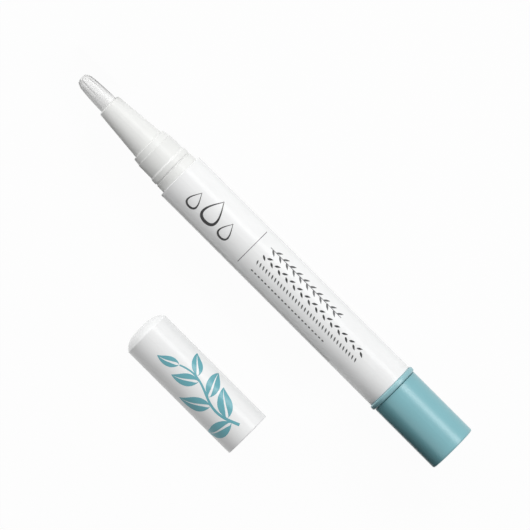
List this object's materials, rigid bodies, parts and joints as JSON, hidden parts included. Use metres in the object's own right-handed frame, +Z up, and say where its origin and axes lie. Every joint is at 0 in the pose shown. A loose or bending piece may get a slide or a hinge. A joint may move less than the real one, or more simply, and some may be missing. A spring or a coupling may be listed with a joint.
{
  "type": "nail oil pen",
  "caption": "Twist-up nail oil pen: white barrel, stepped nozzle with a round brush tip, teal collar ring and twist knob, and a domed white cap that lies beside it.",
  "frame": {"origin": "on the table, under the middle of the box round the pen and its cap", "axes": "+X along the pen from the knob to the brush, +Y across the table from the pen to the cap, +Z up"},
  "size_m": [0.1224, 0.0442, 0.0133],
  "materials": {
    "gloss_white": "gloss moulded",
    "gloss_teal": "gloss moulded",
    "nozzle_white": "satin moulded",
    "nylon_bristles": "fine filaments",
    "inner_natural": "natural moulded",
    "piston_natural": "natural moulded",
    "liner_white": "satin moulded",
    "drive_white": "satin moulded"
  },
  "bodies": {
    "pen": {"barrel": "gloss_white", "nozzle": "nozzle_white", "bristle_tuft": "nylon_bristles", "brush_retainer": "inner_natural", "feed_tube": "inner_natural", "tail_collar": "gloss_teal", "drive_nut": "drive_white"},
    "knob": {"twist_knob": "gloss_teal", "drive_sleeve": "drive_white", "pawl_ring": "drive_white"},
    "screw": {"lead_screw": "drive_white"},
    "piston": {"piston": "piston_natural"},
    "cap": {"cap_shell": "gloss_white", "cap_liner": "liner_white"}
  },
  "joints": [
    {"name": "knob_turn", "type": "hinge", "parent": "pen", "child": "knob", "pos_m": [-0.06118, -0.0154, 0.00667], "axis": [1, 0, 0], "range_deg": [0, 5400], "deforming": ["pawl_ring"]},
    {"name": "screw_feed", "type": "slide", "parent": "knob", "child": "screw", "axis": [1, 0, 0], "range_m": [0, 0.03]},
    {"name": "piston_feed", "type": "slide", "parent": "pen", "child": "piston", "axis": [1, 0, 0], "range_m": [0, 0.03]},
    {"name": "cap_pull", "type": "slide", "parent": "pen", "child": "cap", "axis": [1, 0, 0], "range_m": [0, 0.033]}
  ],
  "couplings": [
    {"joint": "knob_turn", "follows": "screw_feed", "rad_per_m": 3141.6},
    {"joint": "piston_feed", "follows": "screw_feed", "ratio": 1}
  ]
}
